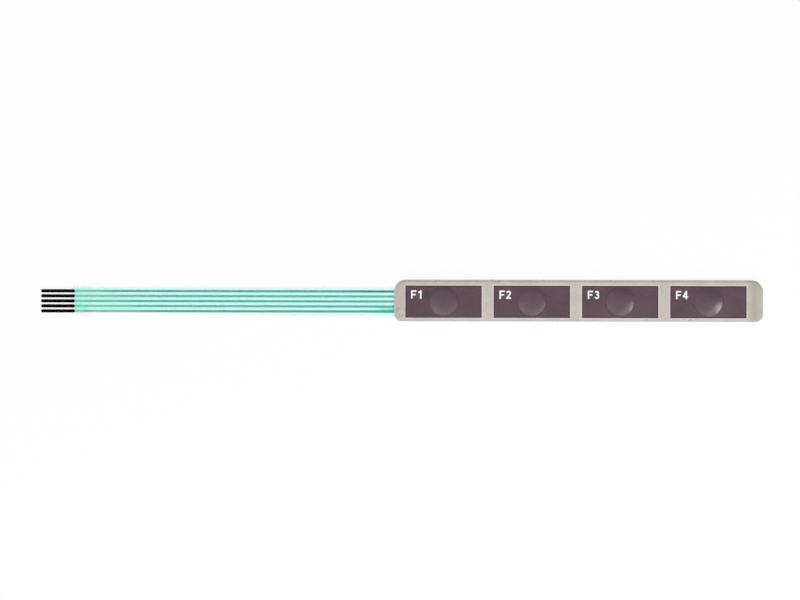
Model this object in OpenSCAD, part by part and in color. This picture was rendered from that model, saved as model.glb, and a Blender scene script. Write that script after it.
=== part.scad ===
// Membrane keypad: a strip of embossed keys on a laminated switch, with a flat printed tail.
// The strip lies face up. X runs along the strip with the tail towards -X, and Z is up.
// The origin is the centre of the strip's rear face.

/* [Keys] */
// Number of keys in the row
key_count = 4; // [2:1:5]
// Length of a printed key field, along the strip
key_length = 19; // [16:0.5:24]
// Width of a printed key field, across the strip
key_width = 8; // [7.8:0.1:10]
// Gap between two key fields
key_gap = 3; // [2:0.1:6]
// Diameter of the embossed dome on a key
emboss_diameter = 7.3; // [6.8:0.1:7.6]
// Height of the embossed dome above the face
emboss_height = 0.4; // [0.25:0.05:0.6]
// Radius that blends the foot of the embossed dome into the face
emboss_fillet = 0.8; // [0.3:0.1:1.5]

/* [Border] */
// Border between the tail end of the strip and the first key
margin_left = 2.8; // [2.5:0.1:6]
// Border between the last key and the far end of the strip
margin_right = 4.1; // [2.5:0.1:6]
// Border above the keys
margin_top = 1.5; // [1:0.1:3]
// Border below the keys
margin_bottom = 0.9; // [0.6:0.1:3]
// Corner radius at the upper edge
corner_top = 3; // [1:0.1:4]
// Corner radius at the lower edge
corner_bottom = 2; // [1:0.1:3]
// How far the inner layers are cut back from the overlay's edge
layer_inset = 0.15; // [0.05:0.05:0.2]

/* [Tail] */
// Length of the tail beyond the strip
tail_length = 88.5; // [40:0.5:200]
// How far the tail's straight conductors run in under the overlay
tail_root_depth = 1; // [0.8:0.1:1.5]
// Spacing of the conductors on the tail
contact_pitch = 1.25; // [1:0.05:1.4]
// Length of a bare contact finger
finger_length = 8.4; // [4:0.1:12]
// Clear film left beyond the contact fingers
tail_end_margin = 0.45; // [0.1:0.05:1]
// Width of a conductor on the tail
tail_line_width = 0.55; // [0.3:0.05:0.6]
// How far a contact finger's carbon laps over the edges and the end of its conductor
finger_lap = 0.075; // [0.05:0.025:0.15]
// Corner radius at the tip of a contact finger
finger_corner = 0.2; // [0.05:0.05:0.25]
// Width of the common conductor where it enters the strip
common_root_width = 0.85; // [0.6:0.05:0.9]
// Length over which the common conductor widens towards the strip
common_flare_length = 7; // [2:0.5:10]
// Length of the stiffener under the contact end
stiffener_length = 13; // [10:1:30]

/* [Circuit] */
// Gap between two key conductors that run side by side along the upper edge
track_gap = 0.2; // [0.1:0.01:0.25]
// Width of the common conductor inside the strip
common_width = 0.5; // [0.3:0.05:0.6]
// Bare film between a printed conductor and the edge of the film
print_margin = 0.2; // [0.1:0.05:0.25]
// Diameter of a key's centre pad
centre_pad_diameter = 2.2; // [1.5:0.1:3]
// Gap in a key's outer ring where its own conductor passes
ring_gap = 1.2; // [0.8:0.1:1.6]

/* [Snap domes] */
// Diameter of a snap dome across its feet
dome_diameter = 6.4; // [6:0.1:6.5]
// Thickness of the dome's sheet metal
dome_sheet = 0.08; // [0.05:0.01:0.1]
// Width of the scallop cut from each side of a dome between two feet
dome_scallop = 3.6; // [3:0.1:4]
// Depth of that scallop
dome_scallop_depth = 0.7; // [0.5:0.1:1]
// Gap between a dome and the wall of its pocket
dome_clearance = 0.3; // [0.2:0.05:0.35]
// How far a ring reaches past the feet of its dome
ring_lap = 0.15; // [0.05:0.05:0.2]
// Radial width of a ring
ring_width = 0.7; // [0.5:0.1:1]
// Width of the air channel between two pockets
vent_width = 1; // [0.5:0.1:2]

/* [Layer thicknesses] */
// Release liner
liner_thickness = 0.1; // [0.05:0.01:0.2]
// Rear adhesive
rear_adhesive_thickness = 0.1; // [0.05:0.01:0.2]
// Circuit film
circuit_thickness = 0.125; // [0.075:0.005:0.2]
// Printed silver
silver_thickness = 0.02; // [0.01:0.005:0.03]
// Insulating coat or carbon that covers the silver
coat_cover = 0.02; // [0.01:0.005:0.04]
// Adhesive between the circuit and the spacer
circuit_adhesive_thickness = 0.05; // [0.03:0.01:0.1]
// Dome spacer
spacer_thickness = 0.25; // [0.2:0.01:0.4]
// Dome retainer film
retainer_thickness = 0.05; // [0.03:0.01:0.1]
// Adhesive under the overlay
overlay_adhesive_thickness = 0.05; // [0.03:0.01:0.1]
// Printed graphics on the back of the overlay
print_thickness = 0.03; // [0.02:0.005:0.04]
// Overlay film
overlay_thickness = 0.2; // [0.125:0.025:0.25]

/* [Hidden] */
$fn = 96;
line_count = key_count + 1;
key_pitch = key_length + key_gap;

// Outline of the strip
strip_length = margin_left + key_count * key_length + (key_count - 1) * key_gap + margin_right;
strip_width = margin_bottom + key_width + margin_top;
strip_left = -strip_length / 2;
strip_top = strip_width / 2;
strip_bottom = -strip_width / 2;

// Row of keys, and the tail that is centred on it
row_y = strip_bottom + margin_bottom + key_width / 2;
first_key_x = strip_left + margin_left + key_length / 2;
tail_width = (line_count + 1) * contact_pitch;
tail_tip_x = strip_left - tail_length;
finger_tip_x = tail_tip_x + tail_end_margin;
coat_start_x = finger_tip_x + finger_length;
tail_root_x = strip_left + tail_root_depth;
finger_width = tail_line_width + 2 * finger_lap;
// Largest corner that still covers the square end of the conductor
finger_corner_r = min(finger_corner, finger_lap * sqrt(2) / (sqrt(2) - 1));

// Printed circuit inside the strip: the key tracks share the band between the pockets and the upper edge
ring_outer_r = dome_diameter / 2 + ring_lap;
ring_inner_r = ring_outer_r - ring_width;
pocket_r = dome_diameter / 2 + dome_clearance;
track_band_top = strip_top - layer_inset - print_margin;
track_band_bottom = row_y + pocket_r + print_margin;
track_pitch = (track_band_top - track_band_bottom + track_gap) / key_count;
track_width = track_pitch - track_gap;
common_y = strip_bottom + layer_inset + print_margin + common_width / 2;

// Heights of the layers, from the rear face up
rear_adhesive_z = liner_thickness;
circuit_z = rear_adhesive_z + rear_adhesive_thickness;
silver_z = circuit_z + circuit_thickness;
coat_thickness = silver_thickness + coat_cover;
dome_z = silver_z + silver_thickness;
circuit_adhesive_z = silver_z + coat_thickness;
spacer_z = circuit_adhesive_z + circuit_adhesive_thickness;
retainer_z = spacer_z + spacer_thickness;
overlay_adhesive_z = retainer_z + retainer_thickness;
print_z = overlay_adhesive_z + overlay_adhesive_thickness;
overlay_z = print_z + print_thickness;
face_z = overlay_z + overlay_thickness;

// Spheres of the domes: radius from the chord and the rise
function cap_radius(chord_r, rise) = (chord_r * chord_r + rise * rise) / (2 * rise);
arc_fn = 720;
emboss_foot_r = emboss_diameter / 2;
emboss_reach = cap_radius(emboss_foot_r, emboss_height);
emboss_r = emboss_reach - emboss_fillet;
emboss_centre_z = face_z + emboss_height - emboss_r;
fillet_centre_z = face_z + emboss_fillet;
dome_rise = retainer_z - dome_z;
dome_r = cap_radius(dome_diameter / 2, dome_rise);
scallop_r = cap_radius(dome_scallop / 2, dome_scallop_depth);

// Places along the row and across the tail
function key_x(i) = first_key_x + (i - 1) * key_pitch;
function line_y(k) = row_y + ((line_count + 1) / 2 - k) * contact_pitch;
function track_y(i) = track_band_top - track_width / 2 - (key_count - i) * track_pitch;

function node_names(stem, count) = [for (i = [1 : count]) str(stem, i)];

// Shapes that repeat

// Outline of the strip, cut back all round by inset
module strip_outline(inset = 0) {
    top_r = corner_top - inset;
    bottom_r = corner_bottom - inset;
    side_r = max(top_r, bottom_r);
    half_l = strip_length / 2 - inset;
    half_w = strip_width / 2 - inset;
    translate([-half_l + side_r, -half_w])
        square([2 * (half_l - side_r), 2 * half_w]);
    translate([-half_l, -half_w + bottom_r])
        square([2 * half_l, 2 * half_w - top_r - bottom_r]);
    translate([-half_l + bottom_r, -half_w])
        square([2 * (half_l - bottom_r), bottom_r]);
    translate([-half_l + top_r, half_w - top_r])
        square([2 * (half_l - top_r), top_r]);
    for (side = [-1, 1]) {
        translate([side * (half_l - top_r), half_w - top_r])
            circle(r = top_r);
        translate([side * (half_l - bottom_r), -half_w + bottom_r])
            circle(r = bottom_r);
    }
}

// A flat layer of the strip
module strip_layer(z, thickness) {
    translate([0, 0, z])
        linear_extrude(thickness)
            strip_outline(layer_inset);
}

// Round holes at the keys
module key_holes(radius, z, thickness) {
    for (i = [1 : key_count])
        translate([key_x(i), row_y, z - thickness])
            cylinder(r = radius, h = 3 * thickness);
}

// Field of one key, as printed
module key_field(i) {
    translate([key_x(i) - key_length / 2, row_y - key_width / 2])
        square([key_length, key_width]);
}

// A printed conductor of even width along a list of points, with round corners
module printed_run(points, width) {
    for (p = points)
        translate(p)
            circle(d = width);
    for (n = [1 : len(points) - 1]) {
        step = points[n] - points[n - 1];
        translate(points[n - 1])
            rotate(atan2(step.y, step.x))
                translate([0, -width / 2])
                    square([norm(step), width]);
    }
}

// Straight stretch of conductor k along the tail, with k counted from the top
module tail_run(k) {
    start_x = finger_tip_x + finger_lap;
    translate([start_x, line_y(k) - tail_line_width / 2])
        square([tail_root_x - start_x, tail_line_width]);
}

// Outline of a contact finger, from its rounded tip to the coat
module finger_outline() {
    half_w = finger_width / 2;
    translate([finger_corner_r, -half_w])
        square([finger_length - finger_corner_r, finger_width]);
    translate([0, -half_w + finger_corner_r])
        square([finger_length, finger_width - 2 * finger_corner_r]);
    for (side = [-1, 1])
        translate([finger_corner_r, side * (half_w - finger_corner_r)])
            circle(r = finger_corner_r);
}

// Outline of a key's conductor: tail, run along the upper edge, drop into the key, centre pad
module key_line_outline(i) {
    k = line_count - i;
    climb = track_y(i) - line_y(k);
    tail_run(k);
    printed_run([
        [tail_root_x, line_y(k)],
        [tail_root_x + climb, track_y(i)],
        [key_x(i), track_y(i)],
        [key_x(i), row_y]
    ], track_width);
    translate([key_x(i), row_y])
        circle(d = centre_pad_diameter);
}

// Outer ring of a key, open at the top where the key's own conductor passes
module key_ring(i) {
    translate([key_x(i), row_y])
        difference() {
            circle(r = ring_outer_r);
            circle(r = ring_inner_r);
            translate([-ring_gap / 2, 0])
                square([ring_gap, 2 * ring_outer_r]);
        }
}

// Outline of the common conductor: tail, flare, run along the lower edge, one ring per key
module common_line_outline() {
    y = line_y(line_count);
    flare_x = strip_left - common_flare_length;
    lower_y = y - tail_line_width / 2;
    root_y = lower_y + common_root_width;
    tail_run(line_count);
    polygon([
        [flare_x, lower_y],
        [tail_root_x, lower_y],
        [tail_root_x, root_y],
        [strip_left, root_y],
        [flare_x, lower_y + tail_line_width]
    ]);
    printed_run([
        [tail_root_x, y],
        [tail_root_x + y - common_y, common_y],
        [key_x(key_count), common_y]
    ], common_width);
    for (i = [1 : key_count]) {
        key_ring(i);
        translate([key_x(i) - common_width / 2, common_y])
            square([common_width, row_y - (ring_outer_r + ring_inner_r) / 2 - common_y]);
    }
}

// Every printed conductor
module silver_outlines() {
    common_line_outline();
    for (i = [1 : key_count])
        key_line_outline(i);
}

// Half section of the mound under an embossed surface that lies depth below the face.
// A cap and a fillet meet on the line between their centres.
module mound_section(depth) {
    cap_r = emboss_r - depth;
    join_r = cap_r * emboss_foot_r / emboss_reach;
    join_z = emboss_centre_z + cap_r * (fillet_centre_z - emboss_centre_z) / emboss_reach;
    base_z = face_z - depth - emboss_height;
    intersection() {
        translate([0, emboss_centre_z])
            circle(r = cap_r, $fn = arc_fn);
        translate([0, base_z])
            square([join_r, emboss_centre_z + emboss_r - base_z]);
    }
    difference() {
        translate([0, base_z])
            square([emboss_foot_r, join_z - base_z]);
        translate([emboss_foot_r, fillet_centre_z])
            circle(r = emboss_fillet + depth);
    }
}

// Embossed dome of a film at key i, between two depths below the face
module embossed_film(i, upper_depth, lower_depth) {
    translate([key_x(i), row_y, 0])
        rotate_extrude()
            difference() {
                mound_section(upper_depth);
                mound_section(lower_depth);
            }
}

// Pieces of the keypad, from the face down

module graphic_overlay() {
    color([0.86, 0.86, 0.85, 0.3]) {
        difference() {
            translate([0, 0, overlay_z])
                linear_extrude(overlay_thickness)
                    strip_outline();
            key_holes(emboss_foot_r, overlay_z, overlay_thickness);
        }
        for (i = [1 : key_count])
            embossed_film(i, 0, overlay_thickness);
    }
}

module border_print() {
    color([0.75, 0.72, 0.69])
        translate([0, 0, print_z])
            linear_extrude(print_thickness)
                difference() {
                    strip_outline();
                    for (i = [1 : key_count])
                        key_field(i);
                }
}

module key_print(i) {
    color([0.39, 0.31, 0.35]) {
        difference() {
            translate([0, 0, print_z])
                linear_extrude(print_thickness)
                    key_field(i);
            key_holes(emboss_foot_r, print_z, print_thickness);
        }
        embossed_film(i, overlay_thickness, overlay_thickness + print_thickness);
    }
}

module overlay_adhesive() {
    color([0.9, 0.9, 0.86])
        difference() {
            strip_layer(overlay_adhesive_z, overlay_adhesive_thickness);
            key_holes(emboss_foot_r, overlay_adhesive_z, overlay_adhesive_thickness);
        }
}

module dome_retainer() {
    color([0.92, 0.92, 0.9])
        strip_layer(retainer_z, retainer_thickness);
}

// Four-leg snap dome: a spherical cap with a scallop between each two feet
module snap_dome(i) {
    centre_z = retainer_z - dome_r;
    color([0.78, 0.78, 0.8])
        translate([key_x(i), row_y, 0])
            difference() {
                rotate_extrude()
                    intersection() {
                        translate([0, centre_z])
                            difference() {
                                circle(r = dome_r, $fn = arc_fn);
                                circle(r = dome_r - dome_sheet, $fn = arc_fn);
                            }
                        translate([0, dome_z])
                            square([dome_diameter, 2 * dome_rise]);
                    }
                for (turn = [0 : 90 : 270])
                    rotate(turn)
                        translate([dome_diameter / 2 - dome_scallop_depth + scallop_r, 0, dome_z - dome_rise])
                            cylinder(r = scallop_r, h = 3 * dome_rise);
            }
}

module dome_spacer() {
    color([0.88, 0.88, 0.86])
        difference() {
            strip_layer(spacer_z, spacer_thickness);
            key_holes(pocket_r, spacer_z, spacer_thickness);
            translate([key_x(1), row_y - vent_width / 2, spacer_z - spacer_thickness])
                cube([key_x(key_count) - key_x(1), vent_width, 3 * spacer_thickness]);
        }
}

module circuit_adhesive() {
    color([0.9, 0.9, 0.86])
        difference() {
            strip_layer(circuit_adhesive_z, circuit_adhesive_thickness);
            key_holes(pocket_r, circuit_adhesive_z, circuit_adhesive_thickness);
        }
}

// Coat over the strip's circuit and the tail, open at the keys and at the contact fingers
module insulating_coat() {
    color([0.55, 0.85, 0.78, 0.6])
        translate([0, 0, silver_z])
            difference() {
                linear_extrude(coat_thickness) {
                    strip_outline(layer_inset);
                    translate([coat_start_x, row_y - tail_width / 2])
                        square([tail_root_x - coat_start_x, tail_width]);
                }
                key_holes(pocket_r, 0, coat_thickness);
                translate([0, 0, -coat_thickness])
                    linear_extrude(coat_thickness + silver_thickness)
                        silver_outlines();
            }
}

module common_line() {
    color([0.66, 0.67, 0.66])
        translate([0, 0, silver_z])
            linear_extrude(silver_thickness)
                common_line_outline();
}

module key_line(i) {
    color([0.66, 0.67, 0.66])
        translate([0, 0, silver_z])
            linear_extrude(silver_thickness)
                key_line_outline(i);
}

// Carbon over the bare end of conductor k
module contact_finger(k) {
    color([0.06, 0.06, 0.06])
        translate([finger_tip_x, line_y(k), silver_z])
            difference() {
                linear_extrude(coat_thickness)
                    finger_outline();
                translate([finger_lap, -tail_line_width / 2, -silver_thickness])
                    cube([finger_length, tail_line_width, 2 * silver_thickness]);
            }
}

module circuit_film() {
    color([0.93, 0.95, 0.95, 0.4])
        translate([0, 0, circuit_z])
            linear_extrude(circuit_thickness) {
                strip_outline(layer_inset);
                translate([tail_tip_x, row_y - tail_width / 2])
                    square([tail_root_x - tail_tip_x, tail_width]);
            }
}

// Strip under the contact end, as thick as the layers under the circuit film
module tail_stiffener() {
    color([0.93, 0.94, 0.95])
        translate([tail_tip_x, row_y - tail_width / 2, 0])
            cube([stiffener_length, tail_width, circuit_z]);
}

module rear_adhesive() {
    color([0.9, 0.88, 0.8])
        strip_layer(rear_adhesive_z, rear_adhesive_thickness);
}

module release_liner() {
    color([0.93, 0.91, 0.84])
        strip_layer(0, liner_thickness);
}

graphic_overlay();
border_print();
for (i = [1 : key_count]) {
    key_print(i);
    snap_dome(i);
    key_line(i);
}
overlay_adhesive();
dome_retainer();
dome_spacer();
circuit_adhesive();
insulating_coat();
common_line();
for (k = [1 : line_count])
    contact_finger(k);
circuit_film();
tail_stiffener();
rear_adhesive();
release_liner();
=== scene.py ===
"""Looks of a membrane keypad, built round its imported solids.

The keypad lies face up on a pale floor, with X along the strip, the tail towards -X and Z up.
Lengths are in metres, and MM turns millimetres into them.
"""

import math

import bmesh
import bpy
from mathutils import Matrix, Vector, noise
from mathutils.geometry import delaunay_2d_cdt


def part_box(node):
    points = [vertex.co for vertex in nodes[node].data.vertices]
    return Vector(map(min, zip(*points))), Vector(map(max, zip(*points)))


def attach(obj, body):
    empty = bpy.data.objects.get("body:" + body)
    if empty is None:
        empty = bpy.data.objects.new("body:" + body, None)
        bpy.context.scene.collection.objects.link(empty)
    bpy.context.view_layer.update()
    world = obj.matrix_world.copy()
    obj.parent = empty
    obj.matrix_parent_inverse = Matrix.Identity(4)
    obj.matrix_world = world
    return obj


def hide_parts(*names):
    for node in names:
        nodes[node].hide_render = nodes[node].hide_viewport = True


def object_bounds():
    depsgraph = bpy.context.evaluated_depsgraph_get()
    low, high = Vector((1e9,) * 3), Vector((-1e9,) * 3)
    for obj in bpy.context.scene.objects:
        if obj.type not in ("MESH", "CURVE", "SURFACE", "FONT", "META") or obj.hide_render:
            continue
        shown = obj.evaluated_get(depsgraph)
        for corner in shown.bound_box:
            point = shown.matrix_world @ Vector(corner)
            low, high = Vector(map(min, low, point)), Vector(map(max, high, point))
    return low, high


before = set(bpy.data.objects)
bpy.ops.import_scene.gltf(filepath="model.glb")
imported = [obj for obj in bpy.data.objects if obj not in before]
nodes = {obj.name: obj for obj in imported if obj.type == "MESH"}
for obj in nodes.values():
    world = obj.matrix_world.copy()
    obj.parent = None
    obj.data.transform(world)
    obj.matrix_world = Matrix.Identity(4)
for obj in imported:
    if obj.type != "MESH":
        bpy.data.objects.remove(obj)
cad_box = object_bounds()

MM = 0.001
KEYS = range(1, 5)
LINES = range(1, 6)

# Face film: an embossed dome on each key, and a cut edge that rolls over a little
EMBOSS_FOOT = 3.65 * MM
EMBOSS_HEIGHT = 0.4 * MM
EMBOSS_FILLET = 0.8 * MM
FACE_THICKNESS = 0.23 * MM
CORNER_TOP = 3.0 * MM
CORNER_BOTTOM = 2.0 * MM
EDGE_ROLL_WIDTH = 0.55 * MM
EDGE_ROLL_DROP = 0.1 * MM
EDGE_ROLL_POWER = 2.0
EDGE_ROLL_BOTTOM_SHARE = 0.2
EDGE_ROLL_SETTLE = 0.06 * MM
EDGE_WOBBLE = 0.03 * MM
EDGE_WOBBLE_LENGTH = 1.1 * MM
EDGE_STEP = 0.5 * MM
EDGE_CREASE = math.radians(40)
CORNER_STEPS = 14
ROLL_RINGS = 7
DOME_RINGS = 16
DOME_SPOKES = 72
DOME_RADII = [EMBOSS_FOOT * (1 - n / DOME_RINGS) for n in range(DOME_RINGS)]
WELD = 0.0005 * MM

# Triangles: only those inside the outlines, and how near two points count as one
TRIANGLES_INSIDE = 1
FLAT_NEARNESS = 1e-6
LETTER_NEARNESS = 1e-5

# Materials of the face film, in the order of its slots
BORDER_SLOT = 0
KEY_SLOT = 1
EDGE_SLOT = 2

# Legend on each key, placed from the key field's upper left corner
LEGEND_LEFT = 1.42 * MM
LEGEND_TOP = 1.2 * MM
LEGEND_HEIGHT = 2.06 * MM
LEGEND_STEP = 0.81
LEGEND_STROKE = 0.18
LEGEND_ARC_STEPS = 14
LEGEND_INK = 0.006 * MM

# Carbon fingers: rounded ends, and the slightly uneven edge of a screen print
FINGER_SPREAD = 0.06 * MM
FINGER_CORNER = 0.3 * MM
FINGER_CORNER_STEPS = 6
FINGER_WOBBLE = 0.018 * MM
FINGER_WOBBLE_LENGTH = 0.6 * MM
FINGER_STEP = 0.15 * MM
FINGER_SHOULDER = 0.75
FINGER_RIM = 0.04 * MM

# Border wear and painted shade: FADE is where it ends and FULL where it is full, from the key fields or the
# strip's edges
FRAME_FADE = 0.55 * MM
FRAME_FULL = 0.25 * MM
FRAME_SHARE = 0.3
SCRATCH_SIZE = 0.5 * MM
SCRATCH_STRETCH = (4.0, 0.6, 1.0)
SCRATCH_TURN = math.radians(38)
SCRATCH_LEVELS = (0.56, 0.7)
SCRATCH_FADE = 4.0 * MM
SCRATCH_FULL = 1.5 * MM
SCRATCH_SHARE = 0.75
GRIME_SHARE = 0.26
SPECK_SIZE = 0.7 * MM
SPECK_LEVELS = (0.685, 0.76)
SPECK_FADE = 1.0 * MM
SPECK_FULL = 0.3 * MM
# Painted shade: the border darkens over the far end of the strip, where the film's end falls into shade
FAR_END_SHADE_FADE = 0.5 * MM
FAR_END_SHADE_FULL = 1.8 * MM
FAR_END_SHADE_SHARE = 0.43

# Key wear and painted light: a painted sheen on the domes, painted shade in the crease at each dome's foot,
# a dark rim and a smudge beside the first legend
DOME_SHEEN_FADE = 0.1 * MM
DOME_SHEEN_FULL = 0.7 * MM
DOME_SHEEN_SHARE = 0.115
CREASE_SHADE_FADE = 0.28 * MM
CREASE_SHADE_FULL = 0.04 * MM
CREASE_SHADE_LEVELS = (0.25, 0.6)
CREASE_SHADE_SHARE = 0.4
RIM_FADE = 0.4 * MM
RIM_FULL = 0.2 * MM
RIM_SHARE = 0.95
SMUDGE_LEFT = 5.4 * MM
SMUDGE_TOP = 2.4 * MM
SMUDGE_FADE = 1.7 * MM
SMUDGE_FULL = 0.5 * MM
SMUDGE_STREAK = 0.5 * MM
SMUDGE_STRETCH = (0.6, 3.0, 1.0)
SMUDGE_TURN = math.radians(-30)
SMUDGE_LEVELS = (0.4, 0.52)

# Green coat: greener by the contacts, where the tail's shadow on the floor is painted, run together at the
# strip, dull over the lines, and paler at the margins, where the painted shade between the conductors stops
# and the lower margin is worn
ZONE_LENGTH = 12.0 * MM
ZONE_FADE = 2.5 * MM
ZONE_SLANT = (1.0, 1.6, 0.0)
SHADOW_EDGE_FADE = 0.8 * MM
SHADOW_EDGE_FULL = 0.1 * MM
BEAD_FADE = 4.0 * MM
BEAD_FULL = 0.5 * MM
ROOT_FADE = 6.5 * MM
ROOT_FULL = 0.8 * MM
ROOT_SIDE_FADE = 1.1 * MM
ROOT_SIDE_FULL = 0.5 * MM
FIRST_FADE = 16.0 * MM
FIRST_FULL = 6.0 * MM
INNER_FADE_PITCHES = 2.0
INNER_FULL_PITCHES = 0.2
INNER_SHARE = 0.5
DEEP_LEVELS = (0.34, 0.16)
SHOULDER_LEVELS = (0.46, 0.2)
MARGIN_INSIDE = 0.1 * MM
MARGIN_OUTSIDE = 0.15 * MM
MARGIN_WEAR_FADE = 8.0 * MM
MARGIN_WEAR_FULL = 66.0 * MM
COAT_TINT = 0.35
TINT_SHARES = {"contact_shadow": 0.2, "bead": 0.14, "root": 0.26, "shoulder": 0.12, "shadow_edge": 0.1}
DEEP_SHARES = {"root": 0.2, "deep": 0.62}
# Paler upper and lower margins are painted light: the tint between the conductors stands in for their
# shade; the worn margin is wear
UNSHADED_MARGIN_AND_WEAR_SHARES = {"lower_margin": 0.25, "worn_margin": 0.72, "upper_margin": 0.9}

# Run-out of the coat on the film, and the silver's change of shade towards the strip
RUN_OUT_FADE = 1.2 * MM
RUN_OUT_FULL = 0.5 * MM
RUN_OUT_WAVE = 0.9 * MM
RUN_OUT_WAVE_SIZE = 0.8 * MM
RUN_OUT_SHARE = 0.45
SKIN = 0.005 * MM
SILVER_CHANGE = 24.0 * MM

# Stage: a wide floor just under the part, even room light that gloss sees dimmer at the back, and lamps
FLOOR_HALF = 3.0
FLOOR_GAP = 0.02 * MM
FLOOR_WHITE_SHARE = 0.93
ROOM_STRENGTH = 0.2
BACK_DIRECTION = (0.55, 0.83, 0.0)
BACK_LEVELS = (0.15, 0.5)
BACK_DIMMING = 0.6
FRONT_PLACE = (-0.12, -0.75, 0.42)
LAMP_LEVEL = 0.43

# Sockets of a Mix node that mixes colours
MIX_SHARE = 0
MIX_FIRST = 6
MIX_SECOND = 7
MIX_RESULT = 2

# Camera: straight down, as the photograph was taken
PHOTO_WIDTH_PX = 800
PHOTO_PX_PER_M = 4014.6
PHOTO_CENTRE_X = -44.49 * MM
PHOTO_CENTRE_Y = 0.09 * MM
PHOTO_TURN = math.radians(0.12)
LENS_MM = 85.0
SENSOR_MM = 36.0
CAMERA_CLIP_START = 0.01

# Places taken from the solids
face_low, face_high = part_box("graphic_overlay")
coat_low, coat_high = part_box("insulating_coat")
film_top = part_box("circuit_film")[1][2]
tail_upper_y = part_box("tail_stiffener")[1][1]
FACE_Z = face_high[2] - EMBOSS_HEIGHT
STRIP_LEFT = face_low[0]
STRIP_TOP = face_high[1]
COAT_START = coat_low[0]
finger_boxes = [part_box(f"contact_finger_{k}") for k in LINES]
TOP_LINE_Y = finger_boxes[0][1][1]
BOTTOM_LINE_Y = finger_boxes[-1][0][1]
COMMON_ROOT_Y = finger_boxes[-1][1][1]
line_rows = [(low[1] + high[1]) / 2 for low, high in finger_boxes]
LINE_PITCH = line_rows[0] - line_rows[1]
MIDDLE_LINE_Y = line_rows[len(line_rows) // 2]
key_boxes = [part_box(f"key_print_{i}") for i in KEYS]
dome_centres = [((low[0] + high[0]) / 2, (low[1] + high[1]) / 2) for low, high in key_boxes]
KEY_PITCH = dome_centres[1][0] - dome_centres[0][0]
KEY_HALF_WIDTH = (key_boxes[0][1][0] - key_boxes[0][0][0]) / 2
KEY_HALF_HEIGHT = (key_boxes[0][1][1] - key_boxes[0][0][1]) / 2
LAST_KEY_RIGHT = key_boxes[-1][1][0]
SMUDGE_X = key_boxes[0][0][0] + SMUDGE_LEFT
SMUDGE_Y = key_boxes[0][1][1] - SMUDGE_TOP


def srgb(red, green, blue):
    """Linear colour of a colour written as it looks, from 0 to 255."""
    shares = [value / 255 for value in (red, green, blue)]
    return [s / 12.92 if s <= 0.04045 else ((s + 0.055) / 1.055) ** 2.4 for s in shares] + [1.0]


# Colours, with two where a material varies between them
WHITE = (1.0, 1.0, 1.0, 1.0)
FLOOR_COLOUR = (0.95, 0.95, 0.95, 1.0)
BORDER_INKS = (srgb(188, 180, 173), srgb(204, 196, 190))
BORDER_FRAME = srgb(232, 222, 218)
# The worn border colour also paints the shade over the far end of the border
BORDER_WEAR_AND_SHADE = srgb(140, 138, 125)
KEY_INKS = (srgb(74, 48, 59), srgb(87, 60, 71))
# Painted sheen of the domes, and a dark colour that serves both for wear and for painted shade in the
# creases
KEY_PAINTED_SHEEN = srgb(112, 96, 112)
KEY_WEAR_AND_SHADE = srgb(52, 34, 42)
LEGEND_WHITES = (srgb(244, 244, 246), srgb(254, 254, 254))
FILM_EDGES = (srgb(168, 163, 157), srgb(204, 199, 193))
MILKY_FILMS = (srgb(174, 176, 176), srgb(202, 204, 204))
ADHESIVES = (srgb(164, 160, 147), srgb(194, 190, 178))
STEELS = (srgb(186, 186, 190), srgb(222, 222, 224))
SILVERS = (srgb(84, 86, 80), srgb(116, 118, 110))
SILVER_AT_STRIP = srgb(92, 104, 100)
SILVER_AT_STRIP_FIRST = srgb(34, 60, 60)
CARBONS = ((0.0006, 0.0006, 0.0006, 1.0), (0.003, 0.0028, 0.0026, 1.0))
CLEAR_FILM = srgb(240, 252, 252)
STIFFENER_FILM = srgb(244, 249, 252)
LINER_PAPERS = (srgb(206, 200, 184), srgb(220, 215, 202))
LINER_FIBRE = srgb(190, 182, 162)
COAT_PALES = ((0.0, 0.98, 0.86, 1.0), (0.02, 1.0, 0.92, 1.0))
# The contact colours paint the tail's shadow on the floor
COAT_PALE_CONTACT_SHADOW = (0.26, 0.98, 0.8, 1.0)
COAT_PALE_ROOT = (0.02, 0.9, 0.6, 1.0)
COAT_DULLS = ((0.08, 0.51, 0.39, 1.0), (0.12, 0.63, 0.49, 1.0))
COAT_DULL_INNER = (0.16, 0.78, 0.6, 1.0)
COAT_DULL_CONTACT_SHADOW = (0.22, 0.76, 0.57, 1.0)
COAT_DULL_FIRST = (0.03, 0.34, 0.31, 1.0)
COAT_DULL_ROOT = (0.0, 0.44, 0.29, 1.0)
COAT_RUN_OUT = (0.2, 0.98, 0.8, 1.0)


# Parts of materials

def new_material(name):
    """An empty node material with its tree, its shader and its object coordinates."""
    material = bpy.data.materials.new(name)
    material.use_nodes = True
    tree = material.node_tree
    shader = tree.nodes["Principled BSDF"]
    place = tree.nodes.new("ShaderNodeTexCoord").outputs["Object"]
    return material, tree, shader, place


def set_input(tree, socket, value):
    """Link a socket to another, or give it a plain value."""
    if isinstance(value, bpy.types.NodeSocket):
        tree.links.new(value, socket)
    else:
        socket.default_value = value


def math_node(tree, operation, first, second=0.0):
    """Output of a Math node whose inputs are sockets or numbers."""
    node = tree.nodes.new("ShaderNodeMath")
    node.operation = operation
    set_input(tree, node.inputs[0], first)
    set_input(tree, node.inputs[1], second)
    return node.outputs["Value"]


def weighted_sum(tree, first, first_share, second, second_share):
    """Sum of two sockets, each times its share."""
    first_part = math_node(tree, "MULTIPLY", first, first_share)
    second_part = math_node(tree, "MULTIPLY", second, second_share)
    return math_node(tree, "ADD", first_part, second_part)


def sum_of_shares(tree, values, shares):
    """Sum of the named values, each times its share."""
    total = 0.0
    for name, share in shares.items():
        part = math_node(tree, "MULTIPLY", values[name], share)
        total = math_node(tree, "ADD", part, total)
    return total


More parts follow.
